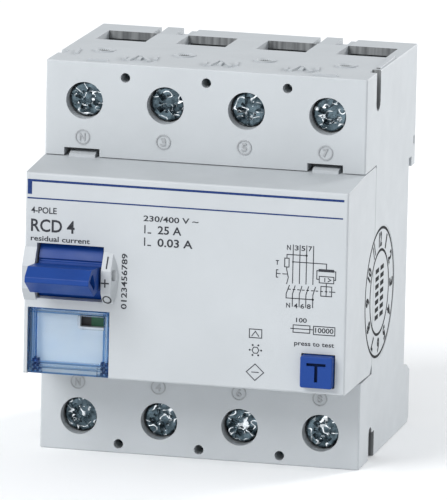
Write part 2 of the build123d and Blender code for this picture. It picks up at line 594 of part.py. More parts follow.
def test_button():
    head = block(BUTTON_X, (BUTTON_FRONT, -57.4), BUTTON_Z)
    head = fillet(head.edges().filter_by(Axis.Y), 0.45)
    head = fillet(head.edges().filter_by(lambda e: abs(e.center().Y - BUTTON_FRONT) < 0.01), 0.3)
    x_mid = sum(BUTTON_X) / 2
    z_mid = sum(BUTTON_Z) / 2
    # Sunken T, the usual mark of a test button
    sunk = (-63, BUTTON_FRONT + T_DEPTH)
    head -= block((x_mid - 2.1, x_mid + 2.1), sunk, (z_mid + 1.35, z_mid + 2.0))
    head -= block((x_mid - 0.35, x_mid + 0.35), sunk, (z_mid - 2.1, z_mid + 1.4))
    flange = block((BUTTON_X[0] - 0.6, BUTTON_X[1] + 0.4), (-58.0, -57.0),
                   (BUTTON_Z[0], BUTTON_Z[1] + 0.6))
    return head + flange + rod_y(1.4, x_mid, (-57.1, -47.6), z_mid)


def test_switch_block():
    x_mid = sum(BUTTON_X) / 2
    z_mid = sum(BUTTON_Z) / 2
    seat = block((25.0, INSIDE), (-50.5, FRAME_Y[0]), (HOOD_FLOOR, -13.2))
    seat -= rod_y(1.7, x_mid, (-51, -40), z_mid)
    return seat - block((27.0, 31.8), (-46.5, -40), (HOOD_FLOOR + 1.4, -14.6))


def test_contact_strip():
    """Springy brass strip that the button's stem bends."""
    z_mid = sum(BUTTON_Z) / 2
    return block((27.6, 31.2), (-46.4, -46.1), (z_mid - 2.2, z_mid + 2.8))


def label_cover():
    """Clear hinged cover: plate, side skirts, ledges near the foot and two trunnions."""
    plate = block(COVER_X, (NOSE, -59.0), COVER_Z)
    plate = fillet(plate.edges().filter_by(lambda e: abs(e.center().Y - NOSE) < 0.01), 0.25)
    left = block((COVER_X[0], COVER_X[0] + 1.5), (-59.3, -57.9), COVER_Z)
    right = block((COVER_X[1] - 0.9, COVER_X[1]), (-59.3, -57.9), COVER_Z)
    upper = block(COVER_X, (-59.3, -57.9), (COVER_Z[1] - 0.8, COVER_Z[1]))
    cover = plate + left + right + upper
    for z in (-19.9, -20.9):
        cover += block(COVER_X, (-59.2, -58.4), (z - 0.25, z + 0.25))
    for x in ((COVER_X[0], COVER_X[0] + 2.8), (COVER_X[1] - 2.6, COVER_X[1])):
        cover += block(x, (-59.2, -57.9), (COVER_Z[0], -20.4))
    cover -= block(WINDOW_X, (-61, -57), (WINDOW_Z[0] - 0.1, WINDOW_Z[1] + 0.1))
    hinge_x = (COVER_X[0] - 0.65, COVER_X[1] + 0.65)
    pins = rod_x(TRUNNION_R, hinge_x, COVER_AXIS_Y, COVER_AXIS_Z)
    pins -= block((COVER_X[0] + 1, COVER_X[1] - 1), (-62, -55), (-30, -10))
    return cover + pins


def label_card():
    card = block((-33.9, -16.9), (-57.6, RECESS_FLOOR), (-20.2, -8.4))
    return card - block(WINDOW_X, (-60, -50), (WINDOW_Z[0], WINDOW_Z[1]))


def indicator_flag():
    """Green slide behind the window, on a thinner foot that carries the red band."""
    flag = block((FLAG_GAP_X[1], -13.2), FLAG_Y, FLAG_Z)
    return flag + block((FLAG_LEFT, FLAG_GAP_X[1]), (FLAG_Y[1] - 0.4, FLAG_Y[1]), FLAG_Z)


def indicator_red_band():
    return block((FLAG_LEFT, FLAG_GAP_X[0]), (FLAG_Y[0], FLAG_Y[1] - 0.4), FLAG_Z)


def rail_clip(x):
    """Sliding clip whose hook grips the rail's lower edge."""
    side = [(1.0, -41.8), (1.0, -23.6), (0.25, -23.6), (0.25, -17.7), (1.3, -17.7),
            (1.3, CLIP_TIP), (2.2, CLIP_TIP), (3.6, -18.0), (3.6, -27.0), (4.2, -27.6), (4.2, -41.8)]
    clip = prism_x(side, (x - 5.0, x + 5.0))
    clip -= block((x - 1.6, x + 1.6), (0, 6), (-38.6, -28.4))
    return clip - block((x - 2.6, x + 2.6), (0, 6), (-41.2, -39.8))


def rail_clip_spring(x):
    return Pos(x, 2.6, -37.2) * coil(1.0, 0.25, 8.7, 7)


def terminal_screw(x, z, turn):
    """Clamp screw with a combined slot and cross recess, left at its own angle."""
    head = rod_y(HEAD_R, x, (HEAD_FRONT, HEAD_FRONT + HEAD_H), z)
    rim = head.edges().filter_by(GeomType.CIRCLE).filter_by(lambda e: e.center().Y < HEAD_FRONT + 0.1)
    screw = fillet(rim, 0.45)
    screw += rod_y(SHANK_R, x, (HEAD_FRONT + HEAD_H - 0.1, BAR_FRONT - 0.1), z)
    screw = chamfer(screw.edges().filter_by(lambda e: e.center().Y > BAR_FRONT - 0.2), 0.6)
    recess = Box(2 * HEAD_R + 1, 1.6, 1.1)
    recess += Box(5.2, 4.0, 1.3) + Box(1.3, 4.0, 5.2)
    recess += Rot(0, 45, 0) * (Box(4.0, 2.0, 0.7) + Box(0.7, 2.0, 4.0))
    recess += rod_y(1.25, 0, (-1.0, 2.2), 0)
    return screw - Pos(x, HEAD_FRONT, z) * Rot(0, turn, 0) * recess


def terminal_cage(x, z):
    """Rising box clamp on the screw; its back plate draws the wire onto the bar."""
    height = (z - CAGE_H / 2, z + CAGE_H / 2)
    cage = block((x - CAGE_HALF_W, x + CAGE_HALF_W), (CAGE_FRONT, CAGE_REAR), height)
    inner = CAGE_HALF_W - CAGE_SIDE
    cage = fillet(cage.edges().filter_by(Axis.Z), 0.7)
    cage -= block((x - inner, x + inner), (CAGE_FRONT + CAGE_NUT, CAGE_REAR - CAGE_BACK),
                  (height[0] - 1, height[1] + 1))
    return cage - rod_y(SHANK_R + FIT, x, (CAGE_FRONT - 1, CAGE_FRONT + CAGE_NUT + 1), z)


def housing_screws():
    """Long thin screws deep in the deck holes."""
    made = []
    for row, z in PIN_HOLE_Z.items():
        for x in BOUNDARIES:
            tabbed = row == "upper" and x != 0
            made += rod_y(0.88, x, (PIN_FRONT, 2.0 if tabbed else -3.0), z).solids()
    return Compound(children=made)


def make_parts():
    parts = {
        "main_housing": main_housing(), "rear_base": rear_base(), "front_hood": front_hood(),
        "inner_frame": inner_frame(), "handle": handle(), "handle_spring": handle_spring(),
        "handle_pin": rod_x(PIN_R, (-34.1, -16.4), HANDLE_Y, HANDLE_Z),
        "link_pin": rod_x(LINK_PIN_R, (-27.3, -22.5), HANDLE_Y + CRANK_R, HANDLE_Z),
        "toggle_link": toggle_link(), "contact_carrier": contact_carrier(),
        "moving_contacts": pole_group(arm), "flexible_leads": pole_group(flexible_lead),
        "main_spring": main_spring(), "upper_terminal_bars": pole_group(upper_bar),
        "lower_terminal_bars": pole_group(lower_bar), "primary_conductors": pole_group(conductor),
        "transformer_core": transformer_core(), "transformer_case": transformer_case(),
        "transformer_winding": transformer_winding(), "trip_relay_case": relay_case(),
        "relay_coil": relay_coil(), "relay_plunger": relay_plunger(),
        "relay_magnet": block((4.2, 5.6), (-53.4, -46.6), (-2.6, 3.6)),
        "trip_lever": trip_lever(), "trip_lever_pin": rod_z(0.8, -12.8, -44.4, (-6.0, 7.0)),
        "circuit_board": block((9.0, 24.0), (-43.2, FRAME_Y[0]), (-19.0, 12.0)),
        "board_components": board_parts(), "test_resistor": test_resistor(),
        "test_button": test_button(), "test_switch_block": test_switch_block(),
        "test_contact_strip": test_contact_strip(), "label_cover": label_cover(),
        "label_card": label_card(), "indicator_flag": indicator_flag(),
        "indicator_red_band": indicator_red_band(), "housing_screws": housing_screws(),
    }
    spring_x, spring_z = sum(BUTTON_X) / 2, sum(BUTTON_Z) / 2
    parts["test_button_spring"] = (
        Pos(spring_x, -57.0, spring_z) * Rot(-90, 0, 0) * coil(1.95, 0.25, 6.5, 5))
    for side, x in CLIP_X.items():
        parts[f"rail_clip_{side}"] = rail_clip(x)
        parts[f"rail_clip_spring_{side}"] = rail_clip_spring(x)
    for row, z in SCREW_Z.items():
        for number, x in enumerate(POLES, 1):
            parts[f"terminal_screw_{row}_{number}"] = terminal_screw(x, z, SCREW_TURN[row] + 31 * number)
            parts[f"terminal_cage_{row}_{number}"] = terminal_cage(x, z)
    return parts


os.makedirs("parts", exist_ok=True)
for name, shape in make_parts().items():
    export_step(shape, f"parts/{name}.step")
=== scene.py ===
import json
import math
import bmesh
import bpy
from mathutils import Matrix, Vector


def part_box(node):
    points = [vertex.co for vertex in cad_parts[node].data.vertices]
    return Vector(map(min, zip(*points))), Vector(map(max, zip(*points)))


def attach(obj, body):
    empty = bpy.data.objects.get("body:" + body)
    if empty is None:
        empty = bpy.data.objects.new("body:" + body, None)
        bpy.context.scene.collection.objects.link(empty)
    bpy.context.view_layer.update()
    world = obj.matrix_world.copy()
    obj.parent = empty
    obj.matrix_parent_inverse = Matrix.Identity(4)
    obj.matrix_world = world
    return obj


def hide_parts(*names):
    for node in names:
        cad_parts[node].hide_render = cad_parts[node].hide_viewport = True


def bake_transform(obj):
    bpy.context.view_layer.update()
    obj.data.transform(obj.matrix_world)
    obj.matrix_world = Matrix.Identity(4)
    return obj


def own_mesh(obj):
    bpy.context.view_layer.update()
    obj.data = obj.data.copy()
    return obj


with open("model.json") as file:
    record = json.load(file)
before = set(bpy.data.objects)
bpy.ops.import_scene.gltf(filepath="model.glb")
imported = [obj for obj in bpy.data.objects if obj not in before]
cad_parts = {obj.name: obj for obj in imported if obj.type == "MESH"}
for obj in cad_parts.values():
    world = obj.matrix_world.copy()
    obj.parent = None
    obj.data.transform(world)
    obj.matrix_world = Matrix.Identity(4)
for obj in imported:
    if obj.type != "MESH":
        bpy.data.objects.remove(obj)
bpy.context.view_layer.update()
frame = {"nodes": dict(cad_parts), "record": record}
MM = 0.001

# Planes of the case and sizes on it, in millimetres
CASE_LOW, CASE_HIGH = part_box("main_housing")
DECK_Y = CASE_LOW.y / MM
NOSE_Y = -60.0
CHEEK_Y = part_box("front_hood")[0].y / MM
SIDE_X = CASE_HIGH.x / MM
STAMP_DEPTH = 0.06
TRUNNION = 0.65                 # reach of each trunnion past the side of the cover

# What picks out the faces painted darker as shade, in millimetres
ENTRY_BACK_Y = -2.4
ENTRY_Z = 39.0                  # least distance of an entry's back wall from mid height
PROBE = (0.4, -28.6, 1.4)       # probe hole: X about its pole, Y, and radius
PROBE_Z = 38.0                  # lower end of the probe holes
SLOT_X = 33.3
SLOT_BACK_Y = (-32.0, -29.0)
SLOT_Z = 34.0                   # least distance of a slot's back wall from mid height
T_DEPTH = 0.6
FLAG_FOOT = 7.45                # length of the flag's thin foot
NEAR = 0.1                      # how close a face's middle must be to an entry's back wall
VERY_NEAR = 0.02                # the same for the floor of the T
FRONTWARD = -0.5                # a face whose normal has less Y than this looks forward

# How the test contact strip is cut, and the floor's height in metres
STRIP_STEPS = 12
FLOOR_Z = CASE_LOW.z


# ---------------------------------------------------------------- camera and light

def add_camera():
    """Long lens from the front right, a little above, with the slight roll of the view."""
    azimuth, elevation, roll = (math.radians(a) for a in (13.053, 11.842, 1.227))
    target = Vector((1.305, -30.0, 0.913)) * MM
    back = Vector((math.sin(azimuth) * math.cos(elevation),
                   -math.cos(azimuth) * math.cos(elevation), math.sin(elevation)))
    right = (-back).cross(Vector((0, 0, 1))).normalized()
    up = right.cross(-back)
    turned_right = math.cos(roll) * right + math.sin(roll) * up
    turned_up = math.cos(roll) * up - math.sin(roll) * right
    distance = 2.2226
    data = bpy.data.cameras.new("camera")
    data.lens = 742.5
    data.sensor_width = 36.0
    data.clip_end = 50.0
    camera = bpy.data.objects.new("camera", data)
    place = Matrix((turned_right, turned_up, back)).transposed().to_4x4()
    place.translation = target + distance * back
    camera.matrix_world = place
    bpy.context.scene.collection.objects.link(camera)
    bpy.context.scene.camera = camera


def add_area_light(name, place, size, power):
    """A soft round light that points at the object."""
    data = bpy.data.lights.new(name, "AREA")
    data.shape = "DISK"
    data.size = size
    data.energy = power
    light = bpy.data.objects.new(name, data)
    light.location = place
    light.rotation_euler = (-Vector(place)).to_track_quat("-Z", "Y").to_euler()
    bpy.context.scene.collection.objects.link(light)


def add_studio():
    """Pale floor, white surroundings, a soft key from the upper left, front fill, right rim."""
    world = bpy.data.worlds.new("studio")
    world.use_nodes = True
    world.node_tree.nodes["Background"].inputs["Color"].default_value = (0.96, 0.98, 1.0, 1)
    world.node_tree.nodes["Background"].inputs["Strength"].default_value = 0.66
    bpy.context.scene.world = world
    bpy.context.scene.view_settings.view_transform = "Standard"
    add_area_light("key", (-0.6, -0.95, 0.85), 0.8, 14.5)
    add_area_light("front", (0.1, -1.5, 0.15), 0.6, 1.8)
    add_area_light("side", (0.75, 1.0, 0.42), 0.5, 12.0)
    mesh = bpy.data.meshes.new("floor")
    half = 15.0
    corners = [(-half, -half, FLOOR_Z), (half, -half, FLOOR_Z), (half, half, FLOOR_Z), (-half, half, FLOOR_Z)]
    mesh.from_pydata(corners, [], [(0, 1, 2, 3)])
    floor = bpy.data.objects.new("floor", mesh)
    bpy.context.scene.collection.objects.link(floor)
    floor.data.materials.append(plain_floor())


# ---------------------------------------------------------------- materials

def new_material(name, roughness, metallic=0.0):
    """A material with its shader, and the position in the object's own space."""
    material = bpy.data.materials.new(name)
    material.use_nodes = True
    nodes, links = material.node_tree.nodes, material.node_tree.links
    shader = nodes["Principled BSDF"]
    shader.inputs["Roughness"].default_value = roughness
    shader.inputs["Metallic"].default_value = metallic
    place = nodes.new("ShaderNodeTexCoord").outputs["Object"]
    return material, nodes, links, shader, place


def noise(nodes, links, place, grain_mm, detail=2.0, stretch=(1, 1, 1)):
    """Noise with features of the given size in millimetres."""
    mapping = nodes.new("ShaderNodeMapping")
    mapping.inputs["Scale"].default_value = [s / (grain_mm * MM) for s in stretch]
    links.new(place, mapping.inputs["Vector"])
    texture = nodes.new("ShaderNodeTexNoise")
    texture.inputs["Scale"].default_value = 1.0
    texture.inputs["Detail"].default_value = detail
    links.new(mapping.outputs["Vector"], texture.inputs["Vector"])
    return texture.outputs["Fac"]


def spread(nodes, links, factor, low, high):
    """Maps the middle of a 0 to 1 value onto low to high."""
    remap = nodes.new("ShaderNodeMapRange")
    remap.inputs["From Min"].default_value = 0.3
    remap.inputs["From Max"].default_value = 0.7
    remap.inputs["To Min"].default_value = low
    remap.inputs["To Max"].default_value = high
    links.new(factor, remap.inputs["Value"])
    return remap.outputs["Result"]


def mixed(nodes, links, factor, first, second):
    """Colour that runs from first to second; each is a colour or another node's output."""
    mix = nodes.new("ShaderNodeMix")
    mix.data_type = "RGBA"
    for socket, colour in ((mix.inputs[6], first), (mix.inputs[7], second)):
        if isinstance(colour, tuple):
            socket.default_value = (*colour, 1)
        else:
            links.new(colour, socket)
    links.new(factor, mix.inputs["Factor"])
    return mix.outputs[2]


def two_tone(nodes, links, factor, first, second, shader):
    """Gives the shader a base colour that runs from first to second."""
    links.new(mixed(nodes, links, factor, first, second), shader.inputs["Base Color"])


def compare(nodes, links, value, middle, reach):
    """1 where the value is within reach of the middle, else 0."""
    node = nodes.new("ShaderNodeMath")
    node.operation = "COMPARE"
    node.inputs[1].default_value = middle
    node.inputs[2].default_value = reach
    links.new(value, node.inputs[0])
    return node.outputs[0]


def combine(nodes, links, operation, first, second):
    """MULTIPLY or MAXIMUM of two values, kept between 0 and 1."""
    node = nodes.new("ShaderNodeMath")
    node.operation = operation
    node.use_clamp = True
    links.new(first, node.inputs[0])
    links.new(second, node.inputs[1])
    return node.outputs[0]


def bump(nodes, links, height, shader, depth_mm, strength=1.0):
    """Fine relief of the given depth, in the shading only."""
    node = nodes.new("ShaderNodeBump")
    node.inputs["Strength"].default_value = strength
    node.inputs["Distance"].default_value = depth_mm * MM
    links.new(height, node.inputs["Height"])
    links.new(node.outputs["Normal"], shader.inputs["Normal"])


def plain_floor():
    """Matt pale floor with faint, broad clouding."""
    material, nodes, links, shader, place = new_material("floor", 0.75)
    cloud = spread(nodes, links, noise(nodes, links, place, 900.0), 0.0, 1.0)
    two_tone(nodes, links, cloud, (0.90, 0.905, 0.91), (0.93, 0.935, 0.94), shader)
    return material


def moulded(name, colour, roughness, grain_mm=0.35, depth_mm=0.012, mottle=0.03, sheen=0.5):
    """Injection-moulded plastic: fine spark-eroded grain, faint flow mottling and uneven gloss."""
    material, nodes, links, shader, place = new_material(name, roughness)
    shader.inputs["Specular IOR Level"].default_value = sheen
    flow = spread(nodes, links, noise(nodes, links, place, 14.0, 4.0), 0.0, 1.0)
    darker = tuple(c * (1 - mottle) for c in colour)
    lighter = tuple(min(1.0, c * (1 + mottle)) for c in colour)
    two_tone(nodes, links, flow, darker, lighter, shader)
    patches = spread(nodes, links, noise(nodes, links, place, 5.0, 3.0), roughness - 0.05, roughness + 0.06)
    links.new(patches, shader.inputs["Roughness"])
    bump(nodes, links, noise(nodes, links, place, grain_mm, 3.0), shader, depth_mm)
    return material


def metal(name, colour, roughness, grain_mm=0.25, depth_mm=0.01, stretch=(1, 1, 1), tarnish=0.3):
    """Plated metal with drawn or cast grain and patches of dullness."""
    material, nodes, links, shader, place = new_material(name, roughness, 1.0)
    stain = spread(nodes, links, noise(nodes, links, place, 1.8, 4.0), 0.0, 1.0)
    two_tone(nodes, links, stain, tuple(c * (1 - tarnish) for c in colour), colour, shader)
    dull = spread(nodes, links, noise(nodes, links, place, 0.9, 3.0), roughness - 0.1, roughness + 0.15)
    links.new(dull, shader.inputs["Roughness"])
    bump(nodes, links, noise(nodes, links, place, grain_mm, 3.0, stretch), shader, depth_mm)
    return material


def glinting_steel():
    """Dark zinc-plated screw steel, mottled, with a few bright curved lines painted on as glints."""
    material, nodes, links, shader, place = new_material("screw_steel", 0.2, 1.0)
    stain = spread(nodes, links, noise(nodes, links, place, 1.7, 2.0), 0.0, 1.0)
    dark = mixed(nodes, links, stain, (0.006, 0.011, 0.015), (0.13, 0.18, 0.21))
    # Painted highlight: thin near-white curved lines, in patches, stand in for glints of light on the screw
    # heads.
    glint_ridge = compare(nodes, links, noise(nodes, links, place, 2.4, 0.0, (1, 1, 1.5)), 0.5, 0.030)
    patches = spread(nodes, links, noise(nodes, links, place, 1.6, 1.0), -0.5, 1.8)
    painted_glint = combine(nodes, links, "MULTIPLY", glint_ridge, patches)
    two_tone(nodes, links, painted_glint, dark, (0.88, 0.92, 0.95), shader)
    dull = spread(nodes, links, noise(nodes, links, place, 0.9, 3.0), 0.12, 0.32)
    links.new(dull, shader.inputs["Roughness"])
    bump(nodes, links, noise(nodes, links, place, 0.8, 2.0, (1, 1, 1.8)), shader, 0.10)
    return material


def ink(name, colour):
    """Matt pad-printed ink, a little uneven."""
    material, nodes, links, shader, place = new_material(name, 0.75)
    shader.inputs["Specular IOR Level"].default_value = 0.1
    wear = spread(nodes, links, noise(nodes, links, place, 0.6, 3.0), 0.0, 1.0)
    two_tone(nodes, links, wear, colour, tuple(c * 1.35 + 0.01 for c in colour), shader)
    return material


def bands(nodes, links, value, limits_mm):
    """1 where the value in metres lies in any of the given bands, else 0."""
    total = None
    for low, high in limits_mm:
        inside = compare(nodes, links, value, (low + high) / 2 * MM, (high - low) / 2 * MM)
        total = inside if total is None else combine(nodes, links, "MAXIMUM", total, inside)
    return total


def entry_back():
    """Plastic painted dark as shade, for walls deep in the openings, with upright moulded ribs whose stripes
    are painted lighter and darker.
    """
    material, nodes, links, shader, place = new_material("entry_back", 0.6)
    ribs = noise(nodes, links, place, 0.9, 1.0, (1, 0.05, 0.05))
    shade = spread(nodes, links, ribs, 0.0, 1.0)
    two_tone(nodes, links, shade, (0.10, 0.105, 0.11), (0.24, 0.25, 0.255), shader)
    bump(nodes, links, ribs, shader, 0.2)
    return material


def clear_plastic():
    """Clear cover with dark blue shade painted on its skirts, ledges and hinge blocks, where thick clear
    plastic looks dark.
    """
    material, nodes, links, shader, place = new_material("clear_plastic", 0.06)
    shader.inputs["Transmission Weight"].default_value = 1.0
    shader.inputs["IOR"].default_value = 1.25
    low, high = (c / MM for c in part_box("label_cover"))
    left, right = low.x + TRUNNION, high.x - TRUNNION
    axes = nodes.new("ShaderNodeSeparateXYZ")
    links.new(place, axes.inputs[0])
    # Painted shade: thin blue bands along the skirts and ledges.
    across = bands(nodes, links, axes.outputs["X"], [
        (low.x, left + 0.25), (left + 0.75, left + 1.0), (left + 1.5, left + 1.75),
        (right - 1.15, right - 0.85), (right - 0.3, high.x)])
    up = bands(nodes, links, axes.outputs["Z"], [
        (low.z, low.z + 0.3), (low.z + 1.2, low.z + 1.4), (low.z + 2.2, low.z + 2.45),
        (high.z - 0.95, high.z - 0.75), (high.z - 0.2, high.z)])
    lines = combine(nodes, links, "MAXIMUM", across, up)
    # Painted shade: deep blue on the hinge blocks.
    hinge_across = bands(nodes, links, axes.outputs["X"], [
        (left + 1.0, left + 1.5), (left + 1.9, left + 2.5), (right - 1.6, right - 0.9), (right - 0.6, right)])
    hinge_up = bands(nodes, links, axes.outputs["Z"], [
        (low.z + 0.4, low.z + 1.1), (low.z + 1.5, low.z + 2.1), (low.z + 2.5, low.z + 3.3)])
    painted_hinge_shade = combine(nodes, links, "MULTIPLY", hinge_across, hinge_up)
    flow = spread(nodes, links, noise(nodes, links, place, 6.0, 2.0), 0.0, 1.0)
    tint = mixed(nodes, links, flow, (0.84, 0.92, 1.0), (0.90, 0.96, 1.0))
    painted_edge_shade = mixed(nodes, links, lines, tint, (0.10, 0.28, 0.62))
    two_tone(nodes, links, painted_hinge_shade, painted_edge_shade, (0.012, 0.045, 0.16), shader)
    bump(nodes, links, noise(nodes, links, place, 2.5), shader, 0.01, 0.3)
    return material


def make_materials():
    """The materials, each under the name of its slot."""
    return {
        "body_plastic": moulded("body_plastic", (0.44, 0.465, 0.485), 0.48),
        "base_plastic": moulded("base_plastic", (0.42, 0.445, 0.465), 0.52),
        "blue_plastic": moulded("blue_plastic", (0.004, 0.040, 0.215), 0.4, 0.5, 0.008, 0.10, 0.25),
        "clear_plastic": clear_plastic(),
        "label_paper": moulded("label_paper", (0.66, 0.70, 0.75), 0.7, 0.12, 0.01, 0.02),
        "flag_green": moulded("flag_green", (0.018, 0.115, 0.05), 0.5),
        "flag_red": moulded("flag_red", (0.45, 0.02, 0.015), 0.5),
        "dark_plastic": moulded("dark_plastic", (0.022, 0.022, 0.024), 0.45, 0.3, 0.012, 0.15),
        "inner_plastic": moulded("inner_plastic", (0.42, 0.41, 0.37), 0.6),
        "steel": metal("steel", (0.56, 0.57, 0.58), 0.32, 0.2, 0.006, (1, 1, 6)),
        "screw_steel": glinting_steel(),
        "copper": metal("copper", (0.78, 0.36, 0.20), 0.3),
        "silver": metal("silver", (0.80, 0.78, 0.74), 0.3),
        "ferrite": moulded("ferrite", (0.035, 0.035, 0.04), 0.7, 0.15, 0.03, 0.2),
        "winding": metal("winding", (0.55, 0.20, 0.07), 0.35, 0.3, 0.05, (1, 1, 0.05)),
        "wire_cover": moulded("wire_cover", (0.02, 0.025, 0.04), 0.4),
        "board": moulded("board", (0.015, 0.11, 0.045), 0.35),
        "part_body": moulded("part_body", (0.03, 0.03, 0.032), 0.4),
    }


def pole_x(number):
    """X of a pole, from its upper clamp screw."""
    low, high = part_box(f"terminal_screw_upper_{number}")
    return (low.x + high.x) / 2 / MM


def paint_faces(node_name, material, wanted):
    """Gives a second material to the faces picked by their middle in millimetres and normal."""
    node = frame["nodes"][node_name]
    node.data.materials.append(material)
    for face in node.data.polygons:
        if wanted((node.matrix_world @ face.center) / MM, face.normal):
            face.material_index = 1


def darken_case():
    """Painted shade: darker plastic on the walls of the probe holes, and on the back walls of the wire
    entries and right side slots.
    """
    poles = [pole_x(number) for number in range(1, 5)]

    # Picks the faces that are painted dark as shade.
    def dark(middle, normal):
        in_entry = abs(middle.y - ENTRY_BACK_Y) < NEAR and abs(middle.z) > ENTRY_Z
        in_slot = (middle.x > SLOT_X and SLOT_BACK_Y[0] < middle.y < SLOT_BACK_Y[1]
                   and abs(middle.z) > SLOT_Z)
        in_probe = middle.z > PROBE_Z and any(
            math.dist((x + PROBE[0], PROBE[1]), middle.xy) < PROBE[2] for x in poles)
        return in_probe or (normal.y < FRONTWARD and (in_entry or in_slot))

    paint_faces("main_housing", entry_back(), dark)


def darken_button():
    """The floor of the button's T is painted a darker blue than its face, as shade."""
    t_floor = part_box("test_button")[0].y / MM + T_DEPTH
    # Painted shade: a darker blue for the sunken floor of the T.
    painted_shade_blue = moulded("painted_shade_blue", (0.001, 0.008, 0.04), 0.6, 0.5, 0.008, 0.10, 0.1)
    paint_faces("test_button", painted_shade_blue, lambda middle, normal: abs(middle.y - t_floor) < VERY_NEAR)


def darken_flag(dark):
    """The flag's thin foot is painted dark as shade, so the window reads dark beside the green as in a deep
    recess.
    """
    foot_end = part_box("indicator_flag")[0].x / MM + FLAG_FOOT
    paint_faces("indicator_flag", dark, lambda middle, normal: middle.x < foot_end)


def dress_frame(materials):
    """Every CAD node takes the material of its slot; three nodes have some faces painted darker as shade."""
    for part in frame["record"]["subparts"]:
        node = frame["nodes"][part["node"]]
        node.data.materials.clear()
        node.data.materials.append(materials[part["material_slot"]])
    darken_case()
    darken_button()
    darken_flag(materials["dark_plastic"])


def live_copy(node):
    """A copy of a springy CAD piece with its own mesh, shown in its place while the CAD piece is hidden."""
    stiff = frame["nodes"][node]
    piece = bpy.data.objects.new(f"{node}_live", stiff.data.copy())
    piece.matrix_world = stiff.matrix_world
    bpy.context.scene.collection.objects.link(piece)
    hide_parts(node)
    return piece


def live_spring(node):
    """A live copy of a coil spring, riding with the case, with a mesh of its own."""
    piece = live_copy(node)
    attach(piece, "case")
    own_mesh(piece)


def live_strip():
    """A live copy of the test contact strip, cut across into even steps along its height."""
    piece = live_copy("test_contact_strip")
    low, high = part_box("test_contact_strip")
    bm = bmesh.new()
    bm.from_mesh(piece.data)
    bm.transform(piece.matrix_world)
    for step in range(1, STRIP_STEPS):
        cut = low.lerp(high, step / STRIP_STEPS)
        bmesh.ops.bisect_plane(bm, geom=bm.verts[:] + bm.edges[:] + bm.faces[:],
                               plane_co=cut, plane_no=(0, 0, 1))
    bm.to_mesh(piece.data)
    bm.free()
    piece.matrix_world = Matrix.Identity(4)
    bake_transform(piece)


def add_live_springs():
    """Live copies of the springy pieces: the test contact strip and three springs."""
    live_strip()
    live_spring("test_button_spring")
    for side in ("left", "right"):
        node = f"rail_clip_spring_{side}"
        live_spring(node)


# ---------------------------------------------------------------- raised and printed marks

def on_nose(u, v, w):
    return Vector((u, NOSE_Y - w, v)) * MM


def on_deck(u, v, w):
    return Vector((u, DECK_Y - w, v)) * MM


def on_side(u, v, w):
    """u runs along the depth, v up, on the right side wall's shallow stamp recess."""
    return Vector((SIDE_X - STAMP_DEPTH + w, u, v)) * MM


def on_cheek(u, v, w):
    """The raised cheek beside the handle slopes back above and below its flat middle."""
    profile = [(-6.4, NOSE_Y), (-3.5, CHEEK_Y), (1.4, CHEEK_Y), (5.2, NOSE_Y)]
    y = NOSE_Y
    for (low, y_low), (high, y_high) in zip(profile, profile[1:]):
        if low <= v <= high:
            y = y_low + (y_high - y_low) * (v - low) / (high - low)
    return Vector((u, y - w, v)) * MM


MITRE_LIMIT = 0.35              # keeps the corners of a sharp turn short


def slab(bm, outline, place, depth):
    """A closed outline of (u, v) points raised by depth; facing the viewer of that wall."""
    low = [bm.verts.new(place(u, v, 0.0)) for u, v in outline]
    high = [bm.verts.new(place(u, v, depth)) for u, v in outline]
    bm.faces.new(high)
    bm.faces.new(low[::-1])
    count = len(outline)
    for i in range(count):
        j = (i + 1) % count
        bm.faces.new((low[i], low[j], high[j], high[i]))


def ribbon(bm, points, width, place, depth, closed=False):
    """A line of even width with mitred corners."""
    path = [Vector(p) for p in points]
    count = len(path)
    left, right = [], []
    for i, p in enumerate(path):
        before = path[i - 1] if (i or closed) else None
        after = path[(i + 1) % count] if (i < count - 1 or closed) else None
        runs = [(p - before).normalized()] if before else []
        if after:
            runs.append((after - p).normalized())
        normals = [Vector((-d.y, d.x)) for d in runs]
        middle = sum(normals, Vector((0, 0))).normalized()
        reach = width / 2 / max(MITRE_LIMIT, middle.dot(normals[0]))
        left.append(p + middle * reach)
        right.append(p - middle * reach)
    last = count if closed else count - 1
    for i in range(last):
        j = (i + 1) % count
        slab(bm, [left[i], left[j], right[j], right[i]], place, depth)


def circle(centre, radius, count=40):
    return [(centre[0] + radius * math.cos(2 * math.pi * i / count),
             centre[1] + radius * math.sin(2 * math.pi * i / count)) for i in range(count)]


def rectangle(u, v):
    return [(u[0], v[0]), (u[1], v[0]), (u[1], v[1]), (u[0], v[1])]


def lettering(bm, text, u, v, place, depth, turn=0.0, weight=0.018):
    """Plain lettering stretched to fill the box u by v, turned about its middle."""
    data = bpy.data.curves.new("lettering", "FONT")
    data.body = text
    data.resolution_u = 3
    data.extrude = 0.5
    data.offset = weight
    holder = bpy.data.objects.new("lettering", data)
    bpy.context.scene.collection.objects.link(holder)
    graph = bpy.context.evaluated_depsgraph_get()
    mesh = bpy.data.meshes.new_from_object(holder.evaluated_get(graph))
    xs = [p.co.x for p in mesh.vertices]
    ys = [p.co.y for p in mesh.vertices]
    middle = Vector(((u[0] + u[1]) / 2, (v[0] + v[1]) / 2))
    scale_u = (u[1] - u[0]) / (max(xs) - min(xs))
    scale_v = (v[1] - v[0]) / (max(ys) - min(ys))
    for point in mesh.vertices:
        flat = Vector(((point.co.x - (max(xs) + min(xs)) / 2) * scale_u,
                       (point.co.y - (max(ys) + min(ys)) / 2) * scale_v))
        flat.rotate(Matrix.Rotation(turn, 2))
        flat += middle
        point.co = place(flat.x, flat.y, depth if point.co.z > 0 else 0.0)
    bm.from_mesh(mesh)
    bpy.data.objects.remove(holder)
    bpy.data.meshes.remove(mesh)


def finish_marks(name, bm, material, body="case"):
    """Turns the finished marks into a piece that rides with its body."""
    bmesh.ops.recalc_face_normals(bm, faces=bm.faces)
    mesh = bpy.data.meshes.new(name)
    bm.to_mesh(mesh)
    bm.free()
    piece = bpy.data.objects.new(name, mesh)
    bpy.context.scene.collection.objects.link(piece)
    mesh.materials.append(material)
    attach(piece, body)


INK_DEPTH = 0.03
FINE = 0.19


